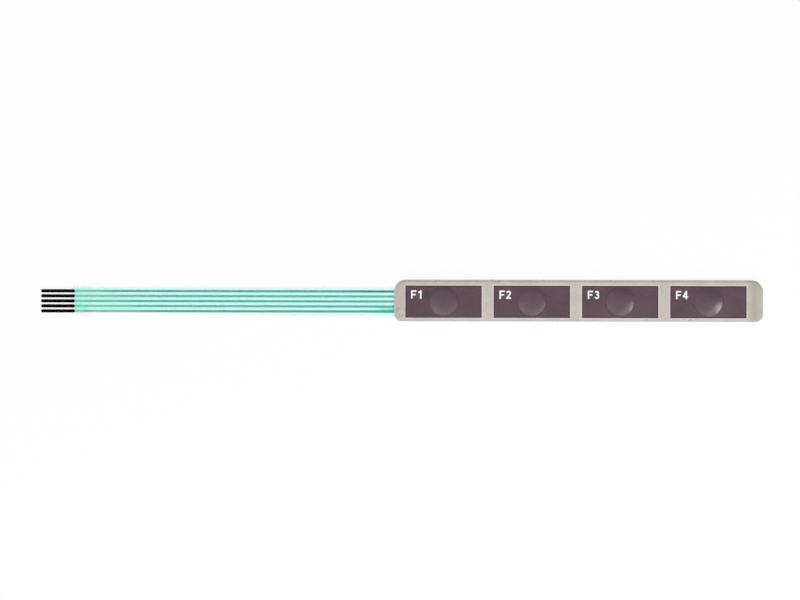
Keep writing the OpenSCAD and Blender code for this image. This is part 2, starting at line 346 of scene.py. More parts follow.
def distance_between(tree, first, second):
    """How far two values lie apart."""
    return math_node(tree, "ABSOLUTE", math_node(tree, "SUBTRACT", first, second))


def ramp_between(tree, value, low, high):
    """Value turned into 0 at low and 1 at high, with a smooth step between."""
    node = tree.nodes.new("ShaderNodeMapRange")
    node.interpolation_type = "SMOOTHSTEP"
    node.inputs["From Min"].default_value = low
    node.inputs["From Max"].default_value = high
    tree.links.new(value, node.inputs["Value"])
    return node.outputs["Result"]


def spread_between(tree, value, low, high):
    """Value from 0 to 1 turned into one from low to high."""
    node = tree.nodes.new("ShaderNodeMapRange")
    node.inputs["To Min"].default_value = low
    node.inputs["To Max"].default_value = high
    tree.links.new(value, node.inputs["Value"])
    return node.outputs["Result"]


def grain(tree, place, size, detail=2.0, stretch=(1.0, 1.0, 1.0), turn=0.0):
    """Noise whose features are about size across, stretched along the axes and turned about Z."""
    mapping = tree.nodes.new("ShaderNodeMapping")
    mapping.vector_type = "TEXTURE"
    mapping.inputs["Rotation"].default_value[2] = turn
    mapping.inputs["Scale"].default_value = stretch
    tree.links.new(place, mapping.inputs["Vector"])
    node = tree.nodes.new("ShaderNodeTexNoise")
    node.inputs["Scale"].default_value = 1.0 / size
    node.inputs["Detail"].default_value = detail
    tree.links.new(mapping.outputs["Vector"], node.inputs["Vector"])
    return node.outputs["Fac"]


def mix_colour(tree, share, first, second):
    """Colour between first and second, which are sockets or colours."""
    node = tree.nodes.new("ShaderNodeMix")
    node.data_type = "RGBA"
    tree.links.new(share, node.inputs[MIX_SHARE])
    set_input(tree, node.inputs[MIX_FIRST], first)
    set_input(tree, node.inputs[MIX_SECOND], second)
    return node.outputs[MIX_RESULT]


def add_bump(tree, shader, height, depth):
    """Bump of the given depth from a height of 0 to 1."""
    node = tree.nodes.new("ShaderNodeBump")
    node.inputs["Strength"].default_value = 1.0
    node.inputs["Distance"].default_value = depth
    tree.links.new(height, node.inputs["Height"])
    tree.links.new(node.outputs["Normal"], shader.inputs["Normal"])


def set_roughness(tree, shader, value, low, high):
    """Roughness that follows a value from 0 to 1."""
    tree.links.new(spread_between(tree, value, low, high), shader.inputs["Roughness"])


def axis_value(tree, place, axis):
    """One coordinate of a place."""
    node = tree.nodes.new("ShaderNodeSeparateXYZ")
    tree.links.new(place, node.inputs["Vector"])
    return node.outputs[axis]


def dot_product(tree, place, direction):
    """How far a place lies along a direction."""
    node = tree.nodes.new("ShaderNodeVectorMath")
    node.operation = "DOT_PRODUCT"
    node.inputs[1].default_value = direction
    tree.links.new(place, node.inputs[0])
    return node.outputs["Value"]


def length_of(tree, along, across):
    """Length of a step along X and across it."""
    along_squared = math_node(tree, "POWER", along, 2.0)
    across_squared = math_node(tree, "POWER", across, 2.0)
    return math_node(tree, "SQRT", math_node(tree, "ADD", along_squared, across_squared))


def distance_from(tree, place, x, y):
    """Distance of a place from a point, seen from above."""
    along = distance_between(tree, axis_value(tree, place, "X"), x)
    across = distance_between(tree, axis_value(tree, place, "Y"), y)
    return length_of(tree, along, across)


def from_key_middle(tree, place):
    """Distances along X and along Y from the middle of the nearest key field."""
    first_x, row_y = dome_centres[0]
    along = math_node(tree, "SUBTRACT", axis_value(tree, place, "X"), first_x)
    along = math_node(tree, "PINGPONG", along, KEY_PITCH / 2)
    return along, distance_between(tree, axis_value(tree, place, "Y"), row_y)


def beyond_key_field(tree, along, across):
    """Distance outside the edge of the nearest key field, and below 0 inside it."""
    past_side = math_node(tree, "SUBTRACT", along, KEY_HALF_WIDTH)
    past_end = math_node(tree, "SUBTRACT", across, KEY_HALF_HEIGHT)
    return math_node(tree, "MAXIMUM", past_side, past_end)


# Materials of the face

def border_wear_and_shade(tree, place, broad, ink):
    """Border ink, paler round the key fields, with scratches, specks and painted shade over the far end."""
    beyond = beyond_key_field(tree, *from_key_middle(tree, place))
    in_frame = ramp_between(tree, beyond, FRAME_FADE, FRAME_FULL)
    ink = mix_colour(tree, math_node(tree, "MULTIPLY", in_frame, FRAME_SHARE), ink, BORDER_FRAME)
    x = axis_value(tree, place, "X")
    streaks = grain(tree, place, SCRATCH_SIZE, detail=4.0, stretch=SCRATCH_STRETCH, turn=SCRATCH_TURN)
    scratches = ramp_between(tree, streaks, *SCRATCH_LEVELS)
    scratched = weighted_sum(tree, scratches, SCRATCH_SHARE, broad, GRIME_SHARE)
    near_left = ramp_between(tree, x, STRIP_LEFT + SCRATCH_FADE, STRIP_LEFT + SCRATCH_FULL)
    from_middle = math_node(tree, "ABSOLUTE", axis_value(tree, place, "Y"))
    near_edge = ramp_between(tree, from_middle, STRIP_TOP - SPECK_FADE, STRIP_TOP - SPECK_FULL)
    specks = ramp_between(tree, grain(tree, place, SPECK_SIZE, detail=1.0), *SPECK_LEVELS)
    # Painted shade over the far end of the border, mixed in with the wear
    far_end_shade = ramp_between(tree, x, LAST_KEY_RIGHT - FAR_END_SHADE_FADE, LAST_KEY_RIGHT + FAR_END_SHADE_FULL)
    wear_and_shade = math_node(tree, "MULTIPLY", scratched, near_left)
    wear_and_shade = math_node(tree, "MAXIMUM", wear_and_shade, math_node(tree, "MULTIPLY", specks, near_edge))
    wear_and_shade = math_node(tree, "MAXIMUM", wear_and_shade, math_node(tree, "MULTIPLY", far_end_shade, FAR_END_SHADE_SHARE))
    return mix_colour(tree, wear_and_shade, ink, BORDER_WEAR_AND_SHADE)


def key_wear_and_shade(tree, place, broad, ink):
    """Key ink with a painted sheen on each dome, painted shade in the crease at its foot, a dark rim and a
    smudge by the first legend.
    """
    along, across = from_key_middle(tree, place)
    from_middle = length_of(tree, along, across)
    # Painted sheen: each dome is painted paler
    dome_sheen = ramp_between(tree, from_middle, EMBOSS_FOOT - DOME_SHEEN_FADE, EMBOSS_FOOT - DOME_SHEEN_FULL)
    ink = mix_colour(tree, math_node(tree, "MULTIPLY", dome_sheen, DOME_SHEEN_SHARE), ink, KEY_PAINTED_SHEEN)
    from_foot = distance_between(tree, from_middle, EMBOSS_FOOT)
    # Painted shade in the crease at the foot of each dome
    crease_shade = ramp_between(tree, from_foot, CREASE_SHADE_FADE, CREASE_SHADE_FULL)
    crease_shade = math_node(tree, "MULTIPLY", crease_shade, ramp_between(tree, broad, *CREASE_SHADE_LEVELS))
    rim = ramp_between(tree, beyond_key_field(tree, along, across), -RIM_FADE, -RIM_FULL)
    streaks = grain(tree, place, SMUDGE_STREAK, detail=3.0, stretch=SMUDGE_STRETCH, turn=SMUDGE_TURN)
    from_smudge = distance_from(tree, place, SMUDGE_X, SMUDGE_Y)
    near_smudge = ramp_between(tree, from_smudge, SMUDGE_FADE, SMUDGE_FULL)
    smudge = math_node(tree, "MULTIPLY", near_smudge, ramp_between(tree, streaks, *SMUDGE_LEVELS))
    wear_and_shade = weighted_sum(tree, crease_shade, CREASE_SHADE_SHARE, rim, RIM_SHARE)
    wear_and_shade = math_node(tree, "MAXIMUM", wear_and_shade, smudge)
    return mix_colour(tree, wear_and_shade, ink, KEY_WEAR_AND_SHADE)


def face_material(name, inks, worn):
    """Printed face film: mottled ink under a fine satin texture, with the wear, painted shade and painted
    sheen that worn gives it.
    """
    material, tree, shader, place = new_material(name)
    fine = grain(tree, place, size=0.4 * MM, detail=4.0)
    broad = grain(tree, place, size=5.0 * MM, detail=3.0)
    mottle = weighted_sum(tree, fine, 0.5, broad, 0.5)
    ink = mix_colour(tree, ramp_between(tree, mottle, low=0.34, high=0.66), *inks)
    tree.links.new(worn(tree, place, broad, ink), shader.inputs["Base Color"])
    shader.inputs["Specular IOR Level"].default_value = 0.55
    set_roughness(tree, shader, broad, low=0.2, high=0.27)
    add_bump(tree, shader, grain(tree, place, size=0.2 * MM, detail=3.0), depth=0.003 * MM)
    return material


def film_edge_material():
    """Cut edge and back of the face film, a little milky."""
    material, tree, shader, place = new_material("film_edge")
    layers = grain(tree, place, size=0.08 * MM, stretch=(12.0, 12.0, 0.5))
    tree.links.new(mix_colour(tree, layers, *FILM_EDGES), shader.inputs["Base Color"])
    set_roughness(tree, shader, layers, low=0.35, high=0.6)
    return material


def legend_material():
    """White legend ink under the satin film."""
    material, tree, shader, place = new_material("legend_white")
    fine = grain(tree, place, size=0.2 * MM, detail=3.0)
    tree.links.new(mix_colour(tree, fine, *LEGEND_WHITES), shader.inputs["Base Color"])
    set_roughness(tree, shader, fine, low=0.32, high=0.42)
    return material


# Materials of the layers and the tail

def layer_material(name, colours, rough_low, rough_high):
    """Inner film or adhesive, seen at the strip's edge."""
    material, tree, shader, place = new_material(name)
    streaks = grain(tree, place, size=0.15 * MM, detail=3.0, stretch=(8.0, 8.0, 0.6))
    tree.links.new(mix_colour(tree, streaks, *colours), shader.inputs["Base Color"])
    set_roughness(tree, shader, streaks, rough_low, rough_high)
    add_bump(tree, shader, streaks, depth=0.004 * MM)
    return material


def spring_steel_material():
    """Stainless sheet with fine rolling marks."""
    material, tree, shader, place = new_material("spring_steel")
    marks = grain(tree, place, size=0.05 * MM, detail=4.0, stretch=(30.0, 1.0, 1.0))
    tree.links.new(mix_colour(tree, marks, *STEELS), shader.inputs["Base Color"])
    shader.inputs["Metallic"].default_value = 1.0
    set_roughness(tree, shader, marks, low=0.22, high=0.36)
    add_bump(tree, shader, marks, depth=0.001 * MM)
    return material


def contact_shadow_zone(tree, place):
    """Painted shadow of the tail on the floor: 1 near the contacts and 0 further along, across a slanting
    border, and 1 along that border alone.
    """
    along = dot_product(tree, place, ZONE_SLANT)
    from_border = math_node(tree, "SUBTRACT", along, COAT_START + ZONE_LENGTH)
    zone = ramp_between(tree, from_border, ZONE_FADE, -ZONE_FADE)
    shadow_edge = ramp_between(tree, math_node(tree, "ABSOLUTE", from_border), SHADOW_EDGE_FADE, SHADOW_EDGE_FULL)
    return zone, shadow_edge


def beside_conductors(tree, y):
    """Distance from the nearest conductor of the tail, as a share of their pitch."""
    steps = math_node(tree, "DIVIDE", math_node(tree, "SUBTRACT", y, line_rows[-1]), LINE_PITCH)
    row = math_node(tree, "ROUND", steps)
    row = math_node(tree, "MINIMUM", math_node(tree, "MAXIMUM", row, 0.0), len(line_rows) - 1.0)
    return distance_between(tree, steps, row)


def coat_zones(tree, place):
    """Parts of the coat on the tail, each as a value from 0 to 1."""
    x = axis_value(tree, place, "X")
    y = axis_value(tree, place, "Y")
    # Painted shadow of the tail on the floor, and its slanting edge
    contact_shadow, shadow_edge = contact_shadow_zone(tree, place)
    aside = beside_conductors(tree, y)
    root = ramp_between(tree, x, STRIP_LEFT - ROOT_FADE, STRIP_LEFT - ROOT_FULL)
    from_common = distance_between(tree, y, COMMON_ROOT_Y)
    at_common = ramp_between(tree, from_common, ROOT_SIDE_FADE, ROOT_SIDE_FULL)
    first = ramp_between(tree, x, STRIP_LEFT - FIRST_FADE, STRIP_LEFT - FIRST_FULL)
    at_first = math_node(tree, "GREATER_THAN", y, line_rows[0] - LINE_PITCH / 2)
    from_middle = distance_between(tree, y, MIDDLE_LINE_Y)
    inner_fade, inner_full = INNER_FADE_PITCHES * LINE_PITCH, INNER_FULL_PITCHES * LINE_PITCH
    inner = ramp_between(tree, from_middle, inner_fade, inner_full)
    upper_margin = ramp_between(tree, y, TOP_LINE_Y - MARGIN_INSIDE, tail_upper_y + MARGIN_OUTSIDE)
    lower_margin = ramp_between(tree, y, BOTTOM_LINE_Y + MARGIN_INSIDE, BOTTOM_LINE_Y - MARGIN_OUTSIDE)
    worn = ramp_between(tree, x, STRIP_LEFT - MARGIN_WEAR_FADE, STRIP_LEFT - MARGIN_WEAR_FULL)
    return {
        "contact_shadow": contact_shadow,
        "shadow_edge": shadow_edge,
        "deep": ramp_between(tree, aside, *DEEP_LEVELS),
        "shoulder": ramp_between(tree, aside, *SHOULDER_LEVELS),
        "bead": ramp_between(tree, x, COAT_START + BEAD_FADE, COAT_START + BEAD_FULL),
        "root": math_node(tree, "MULTIPLY", root, at_common),
        "first": math_node(tree, "MULTIPLY", first, at_first),
        "inner": math_node(tree, "MULTIPLY", inner, INNER_SHARE),
        "upper_margin": upper_margin,
        "lower_margin": lower_margin,
        "worn_margin": math_node(tree, "MULTIPLY", lower_margin, worn),
    }


def coat_colour(tree, zones, cloud):
    """Colour of the coat: pale between the conductors and dull over them."""
    pale = mix_colour(tree, cloud, *COAT_PALES)
    # The mixes with the contact colours paint the tail's shadow on the floor
    pale = mix_colour(tree, zones["contact_shadow"], pale, COAT_PALE_CONTACT_SHADOW)
    pale = mix_colour(tree, zones["root"], pale, COAT_PALE_ROOT)
    dull = mix_colour(tree, cloud, *COAT_DULLS)
    dull = mix_colour(tree, zones["inner"], dull, COAT_DULL_INNER)
    dull = mix_colour(tree, zones["contact_shadow"], dull, COAT_DULL_CONTACT_SHADOW)
    dull = mix_colour(tree, zones["first"], dull, COAT_DULL_FIRST)
    dull = mix_colour(tree, zones["root"], dull, COAT_DULL_ROOT)
    return mix_colour(tree, zones["deep"], pale, dull)


def coat_tint(tree, zones):
    """How strongly the coat colours what lies under it: more over the conductors, and less at the margins,
    where the painted shade between the conductors stops and the lower margin is worn.
    """
    tint = math_node(tree, "ADD", sum_of_shares(tree, zones, TINT_SHARES), COAT_TINT)
    deep_tint = math_node(tree, "MULTIPLY", zones["deep"], sum_of_shares(tree, zones, DEEP_SHARES))
    tint = math_node(tree, "MAXIMUM", tint, deep_tint)
    # Less tint at the margins leaves out the painted shade of the conductors; the lower margin is also worn
    left = math_node(tree, "SUBTRACT", 1.0, sum_of_shares(tree, zones, UNSHADED_MARGIN_AND_WEAR_SHARES))
    return math_node(tree, "MULTIPLY", tint, left)


def green_coat_material():
    """Clear green coat: tinted at its upper face and fully clear at the faces bonded to the film."""
    material, tree, shader, place = new_material("green_coat")
    zones = coat_zones(tree, place)
    cloud = grain(tree, place, size=2.5 * MM, detail=3.0, stretch=(5.0, 1.0, 1.0))
    tree.links.new(coat_colour(tree, zones, cloud), shader.inputs["Base Color"])
    upper = math_node(tree, "GREATER_THAN", axis_value(tree, place, "Z"), coat_high[2] - SKIN)
    tree.links.new(math_node(tree, "MULTIPLY", coat_tint(tree, zones), upper), shader.inputs["Alpha"])
    shader.inputs["Specular IOR Level"].default_value = 0.35
    set_roughness(tree, shader, cloud, low=0.2, high=0.34)
    add_bump(tree, shader, grain(tree, place, size=9.0 * MM, stretch=(2.0, 1.0, 1.0)), depth=0.04 * MM)
    return material


def silver_print_material(name, at_strip_colour):
    """Printed silver, a little uneven along its length, and of another shade at the strip."""
    material, tree, shader, place = new_material(name)
    patches = grain(tree, place, size=0.8 * MM, detail=4.0, stretch=(5.0, 1.0, 1.0))
    colour = mix_colour(tree, ramp_between(tree, patches, low=0.3, high=0.7), *SILVERS)
    at_strip = ramp_between(tree, axis_value(tree, place, "X"), STRIP_LEFT - SILVER_CHANGE, STRIP_LEFT)
    tree.links.new(mix_colour(tree, at_strip, colour, at_strip_colour), shader.inputs["Base Color"])
    set_roughness(tree, shader, patches, low=0.45, high=0.65)
    add_bump(tree, shader, grain(tree, place, size=0.08 * MM), depth=0.004 * MM)
    return material


def carbon_print_material():
    """Black carbon ink with a dull, finely grained face."""
    material, tree, shader, place = new_material("carbon_print")
    fine = grain(tree, place, size=0.12 * MM, detail=4.0)
    tree.links.new(mix_colour(tree, fine, *CARBONS), shader.inputs["Base Color"])
    shader.inputs["Specular IOR Level"].default_value = 0.06
    set_roughness(tree, shader, fine, low=0.7, high=0.9)
    add_bump(tree, shader, fine, depth=0.008 * MM)
    return material


def film_haze(tree, shader, place, low, high):
    """Faint haze of a clear film, as a solidity from low to high, with the roughness that follows it."""
    haze = grain(tree, place, size=3.0 * MM, detail=3.0, stretch=(3.0, 1.0, 1.0))
    set_roughness(tree, shader, haze, low=0.1, high=0.2)
    return spread_between(tree, haze, low, high)


def stiffener_film_material():
    """Clear film under the contact end of the tail."""
    material, tree, shader, place = new_material("stiffener_film")
    shader.inputs["Base Color"].default_value = STIFFENER_FILM
    tree.links.new(film_haze(tree, shader, place, low=0.015, high=0.035), shader.inputs["Alpha"])
    return material


def circuit_film_material():
    """Clear film of the circuit, with a thin run-out of the green coat between the contacts."""
    material, tree, shader, place = new_material("clear_film")
    x, y, z = [axis_value(tree, place, axis) for axis in "XYZ"]
    wavy = weighted_sum(tree, x, 1.0, grain(tree, place, RUN_OUT_WAVE_SIZE), RUN_OUT_WAVE)
    run_out = ramp_between(tree, wavy, COAT_START - RUN_OUT_FADE, COAT_START + RUN_OUT_FULL)
    upper = math_node(tree, "GREATER_THAN", z, film_top - SKIN)
    before_coat = math_node(tree, "LESS_THAN", x, COAT_START)
    above_last = math_node(tree, "GREATER_THAN", y, BOTTOM_LINE_Y)
    for limit in (upper, before_coat, above_last):
        run_out = math_node(tree, "MULTIPLY", run_out, limit)
    tree.links.new(mix_colour(tree, run_out, CLEAR_FILM, COAT_RUN_OUT), shader.inputs["Base Color"])
    haze = film_haze(tree, shader, place, low=0.01, high=0.02)
    tree.links.new(weighted_sum(tree, haze, 1.0, run_out, RUN_OUT_SHARE), shader.inputs["Alpha"])
    return material


def liner_paper_material():
    """Release paper with fine fibres and a faint silicone sheen."""
    material, tree, shader, place = new_material("liner_paper")
    fibres = grain(tree, place, size=0.12 * MM, detail=5.0, stretch=(4.0, 1.0, 1.0), turn=math.radians(20))
    clouds = grain(tree, place, size=4.0 * MM, detail=3.0)
    base = mix_colour(tree, clouds, *LINER_PAPERS)
    colour = mix_colour(tree, ramp_between(tree, fibres, low=0.55, high=0.8), base, LINER_FIBRE)
    tree.links.new(colour, shader.inputs["Base Color"])
    set_roughness(tree, shader, fibres, low=0.4, high=0.6)
    add_bump(tree, shader, fibres, depth=0.006 * MM)
    return material


# Outlines

def arc_points(centre, radius, start, stop, steps):
    """Points along an arc, between two angles in degrees."""
    turns = [math.radians(start + (stop - start) * n / steps) for n in range(steps + 1)]
    return [Vector((centre[0] + radius * math.cos(a), centre[1] + radius * math.sin(a))) for a in turns]


def circle_points(centre, radius):
    """Points round a dome."""
    return arc_points(centre, radius, 0, 360, DOME_SPOKES)[:-1]


def rounded_outline(corners, corner_steps, edge_step, cut_back=0.0):
    """Points round a shape, from its corners' centres, radii and first angles, with steps along its sides.

    The steps along a side are those of the shape before it was cut back.
    """
    arcs = [arc_points((x, y), radius, start, start + 90, corner_steps) for x, y, radius, start in corners]
    points = []
    for arc, following in zip(arcs, arcs[1:] + arcs[:1]):
        side = following[0] - arc[-1]
        steps = max(1, round((side.length + 2 * cut_back) / edge_step))
        points += arc + [arc[-1] + side * (n / steps) for n in range(1, steps)]
    return points


def wobbled(points, inner_points, amount, length):
    """Points of an outline moved a little in or out, as a cut or printed edge runs."""
    moved = []
    for point, inner in zip(points, inner_points):
        outward = (point - inner).normalized()
        shift = amount * noise.noise(Vector((point.x, point.y, 0.0)) / length)
        moved.append(point + outward * shift)
    return moved


def piece_from(name, shape, materials, smooth=False):
    """A new object in the scene that rides on the part, with smooth or flat faces."""
    mesh = bpy.data.meshes.new(name)
    shape.to_mesh(mesh)
    shape.free()
    for material in materials:
        mesh.materials.append(material)
    for polygon in mesh.polygons:
        polygon.use_smooth = smooth
    piece = bpy.data.objects.new(name, mesh)
    bpy.context.scene.collection.objects.link(piece)
    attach(piece, "root")
    return piece


def join_loops(add_face, outer, inner):
    """Faces between two loops of as many points."""
    for n in range(len(outer)):
        m = (n + 1) % len(outer)
        add_face([outer[n], outer[m], inner[m], inner[n]])


# Face film

def strip_ring(inset):
    """Points of the strip's outline, cut back by inset, anticlockwise from the lower right corner."""
    low_x, low_y = face_low[0] + inset, face_low[1] + inset
    high_x, high_y = face_high[0] - inset, face_high[1] - inset
    top_r = CORNER_TOP - inset
    bottom_r = CORNER_BOTTOM - inset
    corners = [
        (high_x - bottom_r, low_y + bottom_r, bottom_r, -90),
        (high_x - top_r, high_y - top_r, top_r, 0),
        (low_x + top_r, high_y - top_r, top_r, 90),
        (low_x + bottom_r, low_y + bottom_r, bottom_r, 180),
    ]
    return rounded_outline(corners, CORNER_STEPS, EDGE_STEP, inset)


def strip_rings():
    """Rings from the uneven cut edge to the flat of the face, with how far each falls below the flat."""
    rings = []
    for n in range(ROLL_RINGS + 1):
        inset = EDGE_ROLL_WIDTH * n / ROLL_RINGS
        fall = EDGE_ROLL_DROP * (1 - (n / ROLL_RINGS) ** EDGE_ROLL_POWER)
        rings.append((strip_ring(inset), fall))
    innermost = strip_ring(EDGE_ROLL_WIDTH + EDGE_ROLL_SETTLE)
    rings.append((innermost, 0.0))
    edge, edge_fall = rings[0]
    rings[0] = (wobbled(edge, innermost, EDGE_WOBBLE, EDGE_WOBBLE_LENGTH), edge_fall)
    return rings


def roll_share(point):
    """Share of the roll at a point of the edge: full along the top and slight along the bottom."""
    up = (point.y - face_low[1]) / (face_high[1] - face_low[1])
    return EDGE_ROLL_BOTTOM_SHARE + (1 - EDGE_ROLL_BOTTOM_SHARE) * up


def emboss_height(radius):
    """Height of an embossed dome above the face: a spherical cap, then a fillet into the flat."""
    reach = (EMBOSS_FOOT ** 2 + EMBOSS_HEIGHT ** 2) / (2 * EMBOSS_HEIGHT)
    cap = reach - EMBOSS_FILLET
    if radius <= cap * EMBOSS_FOOT / reach:
        return EMBOSS_HEIGHT - cap + math.sqrt(cap ** 2 - radius ** 2)
    return EMBOSS_FILLET - math.sqrt(EMBOSS_FILLET ** 2 - (EMBOSS_FOOT - radius) ** 2)


def field_corners(low, high):
    """Corners of a key field, anticlockwise."""
    return [Vector(corner) for corner in (low[:2], (high[0], low[1]), high[:2], (low[0], high[1]))]


def flat_of_face(outline):
    """Points and triangles of the flat face, with the key fields and the feet of the domes marked in it."""
    fields = [field_corners(low, high) for low, high in key_boxes]
    feet = [circle_points(centre, EMBOSS_FOOT) for centre in dome_centres]
    points = []
    edges = []
    for loop in [outline] + fields + feet:
        start = len(points)
        points += [point / MM for point in loop]
        edges += [(start + n, start + (n + 1) % len(loop)) for n in range(len(loop))]
    flat_points, _, triangles, *_ = delaunay_2d_cdt(points, edges, [], TRIANGLES_INSIDE, FLAT_NEARNESS)
    return [Vector(point) * MM for point in flat_points], triangles


def in_key_field(point):
    """True if a point of the face lies in a key field."""
    return any(low[0] < point.x < high[0] and low[1] < point.y < high[1] for low, high in key_boxes)


def in_dome(point):
    """True if a point of the face lies within the foot of a dome."""
    reach = EMBOSS_FOOT * math.cos(math.pi / DOME_SPOKES)
    return any((point - Vector(centre)).length < reach for centre in dome_centres)


def add_film_side(shape, rings, flat, under):
    """Add the face, or the under side with its faces turned over, and return its outer loop."""
    def vertex(point, height):
        return shape.verts.new((point.x, point.y, height - FACE_THICKNESS if under else height))

    def add_face(corners, slot):
        made = shape.faces.new(list(reversed(corners)) if under else corners)
        made.material_index = EDGE_SLOT if under else slot

    def add_border_face(corners):
        add_face(corners, BORDER_SLOT)

    def add_key_face(corners):
        add_face(corners, KEY_SLOT)

    loops = [
        [vertex(p, FACE_Z if under else FACE_Z - fall * roll_share(p)) for p in points]
        for points, fall in rings
    ]
    for outer, inner in zip(loops, loops[1:]):
        join_loops(add_border_face, outer, inner)
    flat_points, flat_faces = flat
    flat_verts = [vertex(p, FACE_Z) for p in flat_points]
    for corners in flat_faces:
        middle = sum((flat_points[n] for n in corners), Vector((0.0, 0.0))) / len(corners)
        if not in_dome(middle):
            add_face([flat_verts[n] for n in corners], KEY_SLOT if in_key_field(middle) else BORDER_SLOT)
    for centre in dome_centres:
        domes = []
        for radius in DOME_RADII:
            height = FACE_Z + emboss_height(radius)
            domes.append([vertex(p, height) for p in circle_points(centre, radius)])
        for outer, inner in zip(domes, domes[1:]):
            join_loops(add_key_face, outer, inner)
        crown = vertex(Vector(centre), FACE_Z + EMBOSS_HEIGHT)
        for n in range(DOME_SPOKES):
            add_key_face([domes[-1][n], domes[-1][(n + 1) % DOME_SPOKES], crown])
    return loops[0]


def sharpen_cut_edges(shape):
    """Sharp edges where the film's cut edge meets its face and where the cut edge turns."""
    for edge in shape.edges:
        slots = {face.material_index for face in edge.link_faces}
        if slots == {EDGE_SLOT}:
            edge.smooth = edge.calc_face_angle(0.0) < EDGE_CREASE
        else:
            edge.smooth = EDGE_SLOT not in slots


def build_face_film():
    """The printed face: rolled edge, flat, key fields and domes, closed by an under side and a cut edge."""
    shape = bmesh.new()
    rings = strip_rings()
    flat = flat_of_face(rings[-1][0])
    upper_edge = add_film_side(shape, rings, flat, under=False)
    lower_edge = add_film_side(shape, rings, flat, under=True)

    def add_wall(corners):
        shape.faces.new(corners).material_index = EDGE_SLOT

    join_loops(add_wall, lower_edge, upper_edge)
    bmesh.ops.remove_doubles(shape, verts=shape.verts, dist=WELD)
    sharpen_cut_edges(shape)
    inks = [
        face_material("face_grey", BORDER_INKS, border_wear_and_shade),
        face_material("face_dark", KEY_INKS, key_wear_and_shade),
        film_edge_material(),
    ]
    piece = piece_from("face_film", shape, inks, smooth=True)
    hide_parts("graphic_overlay", "border_print", *[f"key_print_{i}" for i in KEYS])


# Legends

def letter_arc(centre, radius, start, stop):
    """Points along a round stroke of a letter."""
    return arc_points(centre, radius, start, stop, LEGEND_ARC_STEPS)


def letter_strokes(letter):
    """Middle lines of a letter's strokes, in a box one unit high."""
    half = LEGEND_STROKE / 2
    if letter == "F":
        top = 1.0 - half
        lines = [[(half, 0.0), (half, 1.0)], [(0.0, top), (0.64, top)], [(0.0, 0.49), (0.57, 0.49)]]
    elif letter == "1":
        lines = [[(0.36, 0.0), (0.36, 1.0)], [(0.08, 0.74), (0.36, 0.88)]]
    elif letter == "2":
        bowl = letter_arc((0.3, 0.68), 0.21, 170, -38)
        lines = [bowl + [(0.26, 0.3), (0.1, 0.1)], [(0.0, half), (0.61, half)]]
    elif letter == "3":
        lines = [letter_arc((0.29, 0.72), 0.18, 160, -100), letter_arc((0.29, 0.31), 0.21, 100, -160)]
    else:
        lines = [[(0.44, 0.0), (0.44, 1.0)], [(0.47, 0.97), (0.06, 0.33)], [(0.0, 0.3), (0.64, 0.3)]]
    return [[Vector(point) for point in line] for line in lines]


def stroke_outline(line, width):
    """Outline of a stroke of even width along a line of points."""
    left = []
    right = []
    for n, point in enumerate(line):
        before = line[max(n - 1, 0)]
        after = line[min(n + 1, len(line) - 1)]
        along = (after - before).normalized()
        aside = Vector((-along.y, along.x)) * (width / 2)
        left.append(point + aside)
        right.append(point - aside)
    return right + list(reversed(left))


def joined_outlines(outlines):
    """Points and triangles that cover overlapping outlines once."""
    points = []
    faces = []
    for outline in outlines:
        faces.append(list(range(len(points), len(points) + len(outline))))
        points += outline
    cover = delaunay_2d_cdt(points, [], faces, TRIANGLES_INSIDE, LETTER_NEARNESS)
    cover_points, _, triangles, _, _, sources = cover
    return cover_points, [triangle for triangle, source in zip(triangles, sources) if source]


def build_legend(i, ink):
    """White legend of one key, as a thin layer of ink."""
    outlines = []
    for place, letter in enumerate(f"F{i}"):
        shift = Vector((place * LEGEND_STEP, 0.0))
        for line in letter_strokes(letter):
            outlines.append(stroke_outline([point + shift for point in line], LEGEND_STROKE))
    points, faces = joined_outlines(outlines)
    field_low, field_high = key_boxes[i - 1]
    corner = Vector((field_low[0] + LEGEND_LEFT, field_high[1] - LEGEND_TOP - LEGEND_HEIGHT))
    shape = bmesh.new()
    flat = [corner + point * LEGEND_HEIGHT for point in points]
    verts = [shape.verts.new((p.x, p.y, FACE_Z - LEGEND_INK)) for p in flat]
    layer = [shape.faces.new([verts[n] for n in face]) for face in faces]
    raised = bmesh.ops.extrude_face_region(shape, geom=layer)["geom"]
    for item in raised:
        if isinstance(item, bmesh.types.BMVert):
            item.co.z = FACE_Z + LEGEND_INK
    loose = [v for v in shape.verts if not v.link_faces]
    bmesh.ops.delete(shape, geom=loose, context="VERTS")
    bmesh.ops.recalc_face_normals(shape, faces=shape.faces)
    piece = piece_from(f"legend_{i}", shape, [ink])


# Carbon fingers

